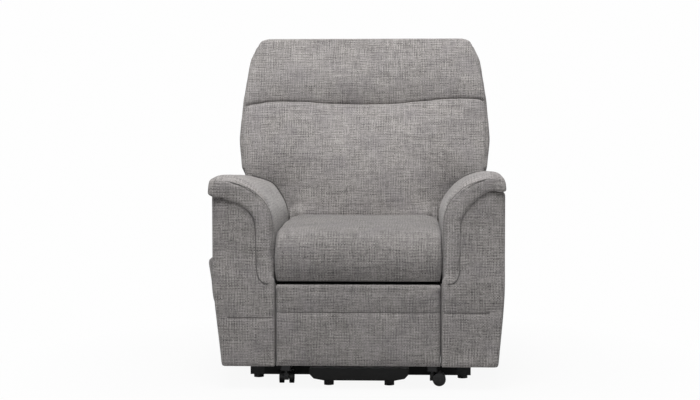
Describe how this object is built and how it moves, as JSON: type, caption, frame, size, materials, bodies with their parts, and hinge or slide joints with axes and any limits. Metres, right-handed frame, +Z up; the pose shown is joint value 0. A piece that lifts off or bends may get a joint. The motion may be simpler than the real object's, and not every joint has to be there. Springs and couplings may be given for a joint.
{
  "type": "lift recliner chair",
  "caption": "Upholstered powered lift recliner armchair with reclining back, fold-out leg rest and a tilting lift base on castors.",
  "frame": {"origin": "on the floor under the middle of the chair, on its plane of symmetry and at the middle of its depth", "axes": "+Z up, -Y to the front of the chair, +X to the right of someone facing the front"},
  "size_m": [0.896, 0.8912, 1.0819],
  "materials": {
    "cloth": "warm grey woven tweed upholstery",
    "black_paint": "satin black powder coat",
    "dark_steel": "black painted mechanism steel",
    "bright_steel": "bright ground steel",
    "black_plastic": "matt black moulded plastic",
    "grey_plastic": "matt grey moulded plastic",
    "black_rubber": "black rubber",
    "plywood": "plain plywood"
  },
  "bodies": {
    "base": {"base_rails": "black_paint", "base_cross_tube_front": "black_paint", "base_cross_tube_rear": "black_paint", "tube_end_caps": "black_plastic", "cross_tube_glides": "black_plastic", "front_stabiliser": "black_paint", "stabiliser_feet": "black_rubber", "base_pivot_brackets": "dark_steel"},
    "lift_arm": {"lift_arm_left": "dark_steel", "lift_arm_right": "dark_steel", "lift_torque_tube": "dark_steel"},
    "lift_follower": {"lift_follower_links": "dark_steel"},
    "lift_motor": {"lift_motor": "black_plastic"},
    "lift_rod": {"lift_rod": "bright_steel"},
    "chassis": {"mechanism_plate_left": "dark_steel", "mechanism_plate_right": "dark_steel", "chassis_cross_tube_front": "dark_steel", "chassis_cross_tube_rear": "dark_steel", "seat_frame": "dark_steel", "seat_springs": "dark_steel", "seat_cushion": "cloth", "arm_left": "cloth", "arm_right": "cloth", "arm_pad_left": "cloth", "arm_pad_right": "cloth", "rear_valance": "cloth", "handset_pocket": "cloth", "control_box": "black_plastic"},
    "backrest": {"back_frame": "plywood", "back_webbing": "black_rubber", "outside_back": "cloth", "lumbar_cushion": "cloth", "head_cushion": "cloth", "back_hinge_brackets": "dark_steel", "back_crank": "dark_steel"},
    "back_motor": {"back_motor": "black_plastic"},
    "back_rod": {"back_rod": "bright_steel"},
    "leg_main": {"leg_main_links": "dark_steel", "leg_torque_tube": "dark_steel"},
    "leg_upper": {"leg_upper_links": "dark_steel"},
    "leg_guide": {"leg_guide_links": "dark_steel"},
    "leg_control": {"leg_control_links": "dark_steel"},
    "footrest": {"footrest_brackets": "dark_steel", "footrest_board": "plywood", "footrest_pad": "cloth"},
    "leg_motor": {"leg_motor": "black_plastic"},
    "leg_rod": {"leg_rod": "bright_steel"},
    "handset": {"handset_case": "black_plastic"},
    "castor_fork_fl": {"castor_fork_fl": "black_plastic"},
    "castor_wheels_fl": {"castor_wheels_fl": "black_plastic"},
    "castor_fork_fr": {"castor_fork_fr": "black_plastic"},
    "castor_wheels_fr": {"castor_wheels_fr": "black_plastic"},
    "castor_fork_rl": {"castor_fork_rl": "black_plastic"},
    "castor_wheels_rl": {"castor_wheels_rl": "black_plastic"},
    "castor_fork_rr": {"castor_fork_rr": "black_plastic"},
    "castor_wheels_rr": {"castor_wheels_rr": "black_plastic"},
    "button_1": {"handset_button_1": "grey_plastic"},
    "button_2": {"handset_button_2": "grey_plastic"},
    "button_3": {"handset_button_3": "grey_plastic"},
    "button_4": {"handset_button_4": "grey_plastic"}
  },
  "joints": [
    {"name": "lift", "type": "hinge", "parent": "base", "child": "lift_arm", "pos_m": [0, -0.123, 0.125], "axis": [1, 0, 0], "range_deg": [0, 53]},
    {"name": "chassis_tilt", "type": "hinge", "parent": "lift_arm", "child": "chassis", "pos_m": [0, 0.202, 0.166], "axis": [1, 0, 0], "range_deg": [-36.7, 0]},
    {"name": "lift_follow", "type": "hinge", "parent": "base", "child": "lift_follower", "pos_m": [0, -0.1805, 0.0885], "axis": [1, 0, 0], "range_deg": [0, 58.83]},
    {"name": "lift_motor_swing", "type": "hinge", "parent": "base", "child": "lift_motor", "pos_m": [0, 0.299, 0.1], "axis": [1, 0, 0], "range_deg": [0, 0.969]},
    {"name": "lift_rod_swing", "type": "hinge", "parent": "lift_arm", "child": "lift_rod", "pos_m": [0, -0.09604, 0.1786], "axis": [1, 0, 0], "range_deg": [-52.53, 0]},
    {"name": "back_recline", "type": "hinge", "parent": "chassis", "child": "backrest", "pos_m": [0, 0.154, 0.4], "axis": [-1, 0, 0], "range_deg": [0, 38]},
    {"name": "back_motor_swing", "type": "hinge", "parent": "chassis", "child": "back_motor", "pos_m": [-0.11, -0.226, 0.2725], "axis": [-1, 0, 0], "range_deg": [-3.14, 0]},
    {"name": "back_rod_swing", "type": "hinge", "parent": "backrest", "child": "back_rod", "pos_m": [-0.11, 0.16167, 0.30029], "axis": [-1, 0, 0], "range_deg": [-41.24, 0]},
    {"name": "leg_rest", "type": "hinge", "parent": "chassis", "child": "leg_main", "pos_m": [0, -0.317, 0.294], "axis": [-1, 0, 0], "range_deg": [0, 76.5]},
    {"name": "leg_upper_pivot", "type": "hinge", "parent": "leg_main", "child": "leg_upper", "pos_m": [0, -0.312, 0.136], "axis": [-1, 0, 0], "range_deg": [-111.8, 0]},
    {"name": "footrest_pivot", "type": "hinge", "parent": "leg_upper", "child": "footrest", "pos_m": [0, -0.363, 0.3], "axis": [-1, 0, 0], "range_deg": [0, 114.9]},
    {"name": "leg_guide_pivot", "type": "hinge", "parent": "chassis", "child": "leg_guide", "pos_m": [0, -0.3565, 0.234], "axis": [-1, 0, 0], "range_deg": [0, 89.6]},
    {"name": "leg_control_pivot", "type": "hinge", "parent": "leg_main", "child": "leg_control", "pos_m": [0, -0.305, 0.106], "axis": [-1, 0, 0], "range_deg": [-111.44, 0]},
    {"name": "leg_motor_swing", "type": "hinge", "parent": "chassis", "child": "leg_motor", "pos_m": [0.11, 0.262, 0.2795], "axis": [-1, 0, 0], "range_deg": [-0.583, 0]},
    {"name": "leg_rod_swing", "type": "hinge", "parent": "leg_main", "child": "leg_rod", "pos_m": [0.11, -0.296, 0.26726], "axis": [-1, 0, 0], "range_deg": [-77.18, 0]},
    {"name": "castor_swivel_fl", "type": "hinge", "parent": "base", "child": "castor_fork_fl", "pos_m": [-0.222, -0.341, 0.044], "axis": [0, 0, 1], "continuous": true},
    {"name": "castor_roll_fl", "type": "hinge", "parent": "castor_fork_fl", "child": "castor_wheels_fl", "pos_m": [-0.222, -0.32, 0.02], "axis": [1, 0, 0], "continuous": true},
    {"name": "castor_swivel_fr", "type": "hinge", "parent": "base", "child": "castor_fork_fr", "pos_m": [0.222, -0.341, 0.044], "axis": [0, 0, 1], "continuous": true},
    {"name": "castor_roll_fr", "type": "hinge", "parent": "castor_fork_fr", "child": "castor_wheels_fr", "pos_m": [0.243, -0.341, 0.02], "axis": [0, 1, 0], "continuous": true},
    {"name": "castor_swivel_rl", "type": "hinge", "parent": "base", "child": "castor_fork_rl", "pos_m": [-0.222, 0.269, 0.044], "axis": [0, 0, 1], "continuous": true},
    {"name": "castor_roll_rl", "type": "hinge", "parent": "castor_fork_rl", "child": "castor_wheels_rl", "pos_m": [-0.222, 0.29, 0.02], "axis": [1, 0, 0], "continuous": true},
    {"name": "castor_swivel_rr", "type": "hinge", "parent": "base", "child": "castor_fork_rr", "pos_m": [0.222, 0.269, 0.044], "axis": [0, 0, 1], "continuous": true},
    {"name": "castor_roll_rr", "type": "hinge", "parent": "castor_fork_rr", "child": "castor_wheels_rr", "pos_m": [0.222, 0.29, 0.02], "axis": [1, 0, 0], "continuous": true},
    {"name": "handset_lift_out", "type": "slide", "parent": "chassis", "child": "handset", "axis": [0, 0, 1], "range_m": [0, 0.2]},
    {"name": "button_1_press", "type": "slide", "parent": "handset", "child": "button_1", "axis": [1, 0, 0], "range_m": [0, 0.0012], "stiffness_N_per_m": 900},
    {"name": "button_2_press", "type": "slide", "parent": "handset", "child": "button_2", "axis": [1, 0, 0], "range_m": [0, 0.0012], "stiffness_N_per_m": 900},
    {"name": "button_3_press", "type": "slide", "parent": "handset", "child": "button_3", "axis": [1, 0, 0], "range_m": [0, 0.0012], "stiffness_N_per_m": 900},
    {"name": "button_4_press", "type": "slide", "parent": "handset", "child": "button_4", "axis": [1, 0, 0], "range_m": [0, 0.0012], "stiffness_N_per_m": 900}
  ],
  "couplings": [
    {"joint": "chassis_tilt", "follows": "lift", "ratio": -0.68679},
    {"joint": "lift_follow", "follows": "lift", "ratio": 1.1043},
    {"joint": "lift_motor_swing", "follows": "lift", "ratio": 0.0145},
    {"joint": "lift_rod_swing", "follows": "lift", "ratio": -0.9855},
    {"joint": "back_motor_swing", "follows": "back_recline", "ratio": -0.0774},
    {"joint": "back_rod_swing", "follows": "back_recline", "ratio": -1.0774},
    {"joint": "leg_upper_pivot", "follows": "leg_rest", "ratio": -1.4575},
    {"joint": "footrest_pivot", "follows": "leg_rest", "ratio": 1.498},
    {"joint": "leg_guide_pivot", "follows": "leg_rest", "ratio": 1.1673},
    {"joint": "leg_control_pivot", "follows": "leg_rest", "ratio": -1.4528},
    {"joint": "leg_motor_swing", "follows": "leg_rest", "ratio": -0.005},
    {"joint": "leg_rod_swing", "follows": "leg_rest", "ratio": -1.005}
  ]
}
